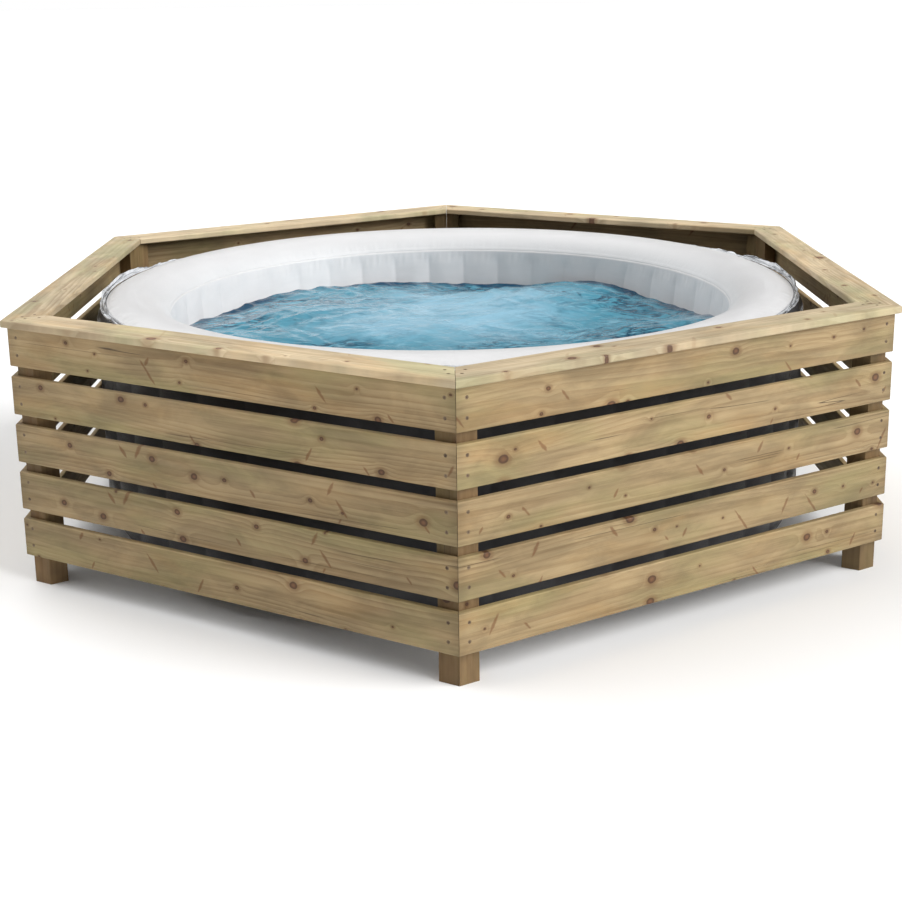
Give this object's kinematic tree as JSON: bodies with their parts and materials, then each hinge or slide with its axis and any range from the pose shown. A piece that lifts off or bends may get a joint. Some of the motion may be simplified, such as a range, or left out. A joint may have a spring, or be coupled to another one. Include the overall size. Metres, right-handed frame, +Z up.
{
  "type": "inflatable hot tub",
  "caption": "Round inflatable hot tub with a padded white rim, standing inside a hexagonal surround of timber slats with mitred capping boards.",
  "frame": {"origin": "on the ground under the centre of the hexagonal surround", "axes": "+Z up, +Y from the front corner of the hexagon to its back corner, +X to the right panel"},
  "size_m": [2.1758, 2.5118, 0.678],
  "materials": {
    "timber": "matte",
    "screw_steel": "satin",
    "white_pvc": "satin",
    "grey_pvc": "satin",
    "charcoal_pvc": "satin",
    "hem_vinyl": "satin",
    "fitting_dark": "matte",
    "fitting_light": "matte",
    "water": "gloss"
  },
  "bodies": {
    "surround": {"capping_back_left": "timber", "capping_back_right": "timber", "capping_front_left": "timber", "capping_front_right": "timber", "capping_left": "timber", "capping_right": "timber", "corner_post_back": "timber", "corner_post_back_left": "timber", "corner_post_back_right": "timber", "corner_post_front": "timber", "corner_post_front_left": "timber", "corner_post_front_right": "timber", "slat_back_left_1": "timber", "slat_back_left_2": "timber", "slat_back_left_3": "timber", "slat_back_left_4": "timber", "slat_back_left_5": "timber", "slat_back_right_1": "timber", "slat_back_right_2": "timber", "slat_back_right_3": "timber", "slat_back_right_4": "timber", "slat_back_right_5": "timber", "slat_front_left_1": "timber", "slat_front_left_2": "timber", "slat_front_left_3": "timber", "slat_front_left_4": "timber", "slat_front_left_5": "timber", "slat_front_right_1": "timber", "slat_front_right_2": "timber", "slat_front_right_3": "timber", "slat_front_right_4": "timber", "slat_front_right_5": "timber", "slat_left_1": "timber", "slat_left_2": "timber", "slat_left_3": "timber", "slat_left_4": "timber", "slat_left_5": "timber", "slat_right_1": "timber", "slat_right_2": "timber", "slat_right_3": "timber", "slat_right_4": "timber", "slat_right_5": "timber", "surround_screws": "screw_steel"},
    "tub": {"outer_wall": "charcoal_pvc", "inner_wall": "grey_pvc", "top_ring": "white_pvc", "wall_baffles": "white_pvc", "hem_band": "hem_vinyl", "base_sheet": "charcoal_pvc", "floor_pad": "grey_pvc", "bubble_channel": "grey_pvc", "port_couplings": "fitting_dark", "inflation_valve": "fitting_dark", "drain_valve": "fitting_dark", "debris_screens": "fitting_light"},
    "inflation_cap": {"inflation_cap": "fitting_dark"},
    "drain_cap": {"drain_cap": "fitting_dark"},
    "water_inlet_cap": {"water_inlet_cap": "fitting_dark"},
    "water_outlet_cap": {"water_outlet_cap": "fitting_dark"},
    "air_port_cap": {"air_port_cap": "fitting_dark"}
  },
  "joints": [
    {"name": "tub_lift", "type": "slide", "parent": "surround", "child": "tub", "axis": [0, 0, 1], "range_m": [0, 0.75]},
    {"name": "inflation_cap_turn", "type": "hinge", "parent": "tub", "child": "inflation_cap", "pos_m": [-0.86068, 0.48922, 0.52], "axis": [-0.8694, 0.4942, 0], "range_deg": [0, 360]},
    {"name": "drain_cap_turn", "type": "hinge", "parent": "tub", "child": "drain_cap", "pos_m": [0.85401, 0.50076, 0.13], "axis": [0.8626, 0.5058, 0], "range_deg": [0, 360]},
    {"name": "water_inlet_cap_turn", "type": "hinge", "parent": "tub", "child": "water_inlet_cap", "pos_m": [0.14096, 0.97991, 0.23], "axis": [0.1424, 0.9898, 0], "range_deg": [0, 360]},
    {"name": "water_outlet_cap_turn", "type": "hinge", "parent": "tub", "child": "water_outlet_cap", "pos_m": [-0.15414, 0.97793, 0.23], "axis": [-0.1557, 0.9878, 0], "range_deg": [0, 360]},
    {"name": "air_port_cap_turn", "type": "hinge", "parent": "tub", "child": "air_port_cap", "pos_m": [-0.00666, 0.98998, 0.23], "axis": [-0.0067, 1, 0], "range_deg": [0, 360]}
  ]
}
